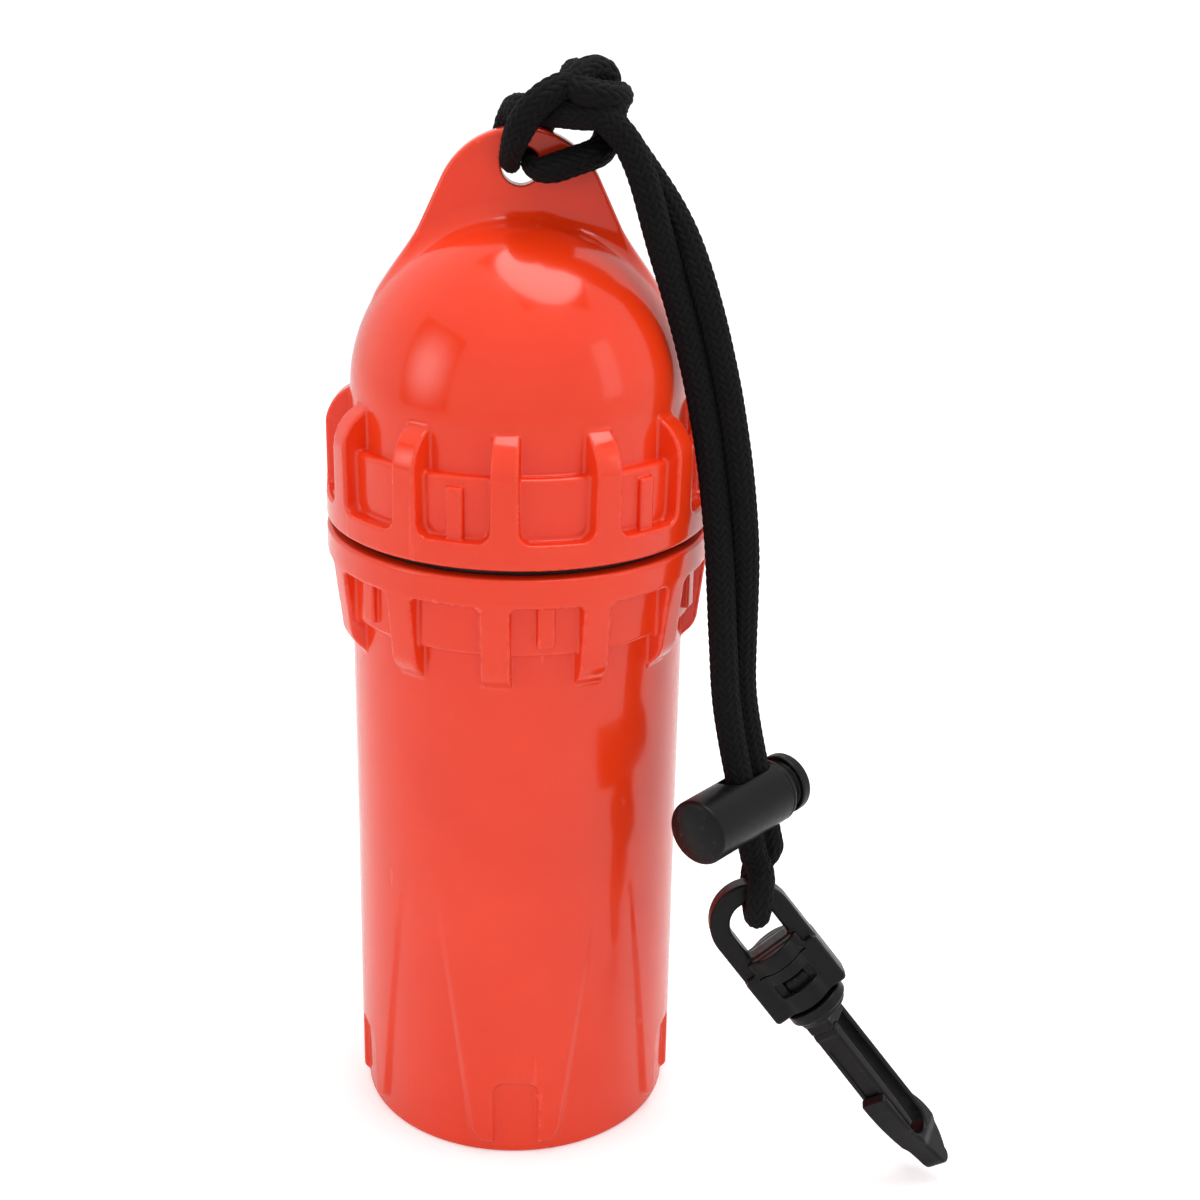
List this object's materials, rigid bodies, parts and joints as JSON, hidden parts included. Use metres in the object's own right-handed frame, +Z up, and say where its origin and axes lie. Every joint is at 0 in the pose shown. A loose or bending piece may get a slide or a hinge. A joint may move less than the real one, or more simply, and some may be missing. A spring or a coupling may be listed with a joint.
{
  "type": "waterproof capsule",
  "caption": "Screw-top dry capsule with a ribbed collar, a domed cap and lug, and a corded lanyard with a sliding cord lock and a swivel snap hook.",
  "frame": {"origin": "centre of the canister's base, on the plane it stands on", "axes": "+Z up along the canister's axis, +X to the side the lanyard hangs on, -Y to the front, the side the lug's face and the front petal face"},
  "size_m": [0.1208, 0.0786, 0.2083],
  "materials": {
    "shell": "glossy orange-red injection-moulded plastic",
    "seal": "black rubber ring",
    "cord": "black braided cord",
    "black_plastic": "satin black moulded plastic",
    "spring": "bare spring wire"
  },
  "bodies": {
    "canister": {"canister": "shell"},
    "seal": {"seal_ring": "seal"},
    "cap": {"cap_shell": "shell", "cord_hitch": "cord", "cord_knot": "cord", "cord_tail_front": "cord", "cord_tail_rear": "cord"},
    "lanyard": {"cord_strand_front": "cord", "cord_strand_rear": "cord", "cord_bight": "cord"},
    "lock": {"lock_barrel": "black_plastic", "lock_spring": "spring"},
    "lock_button": {"lock_plunger": "black_plastic"},
    "eye": {"swivel_eye": "black_plastic"},
    "hook": {"hook_body": "black_plastic"},
    "gate": {"hook_gate": "black_plastic"}
  },
  "joints": [
    {"name": "cap_rise", "type": "slide", "parent": "canister", "child": "seal", "axis": [0, 0, 1], "range_m": [0, 0.0125]},
    {"name": "cap_turn", "type": "hinge", "parent": "seal", "child": "cap", "pos_m": [0, 0, 0.1244], "axis": [0, 0, 1], "range_deg": [0, 905]},
    {"name": "lanyard_swing", "type": "hinge", "parent": "cap", "child": "lanyard", "pos_m": [0.0166, -0.00702, 0.19612], "axis": [0, -0.9874, 0.158], "range_deg": [0, 70]},
    {"name": "lock_slide", "type": "slide", "parent": "lanyard", "child": "lock", "axis": [-0.2079, 0.1545, 0.9659], "range_m": [-0.003, 0.0085]},
    {"name": "button_press", "type": "slide", "parent": "lock", "child": "lock_button", "axis": [-0.6917, -0.7215, -0.0335], "range_m": [0, 0.0024], "stiffness_N_per_m": 400, "springref_m": -0.001, "deforming": ["lock_spring"]},
    {"name": "eye_tilt", "type": "hinge", "parent": "lanyard", "child": "eye", "pos_m": [0.04481, -0.03006, 0.0521], "axis": [0, -0.9874, 0.158], "range_deg": [-25, 25]},
    {"name": "hook_swivel", "type": "hinge", "parent": "eye", "child": "hook", "pos_m": [0.05657, -0.03244, 0.03724], "axis": [-0.6157, 0.1245, 0.7781], "continuous": true},
    {"name": "gate_flex", "type": "hinge", "parent": "hook", "child": "gate", "pos_m": [0.05929, -0.03634, 0.03154], "axis": [0.6824, -0.4095, 0.6055], "range_deg": [0, 8], "stiffness_Nm_per_rad": 0.05}
  ],
  "couplings": [
    {"joint": "cap_turn", "follows": "cap_rise", "rad_per_m": 1256.6}
  ]
}
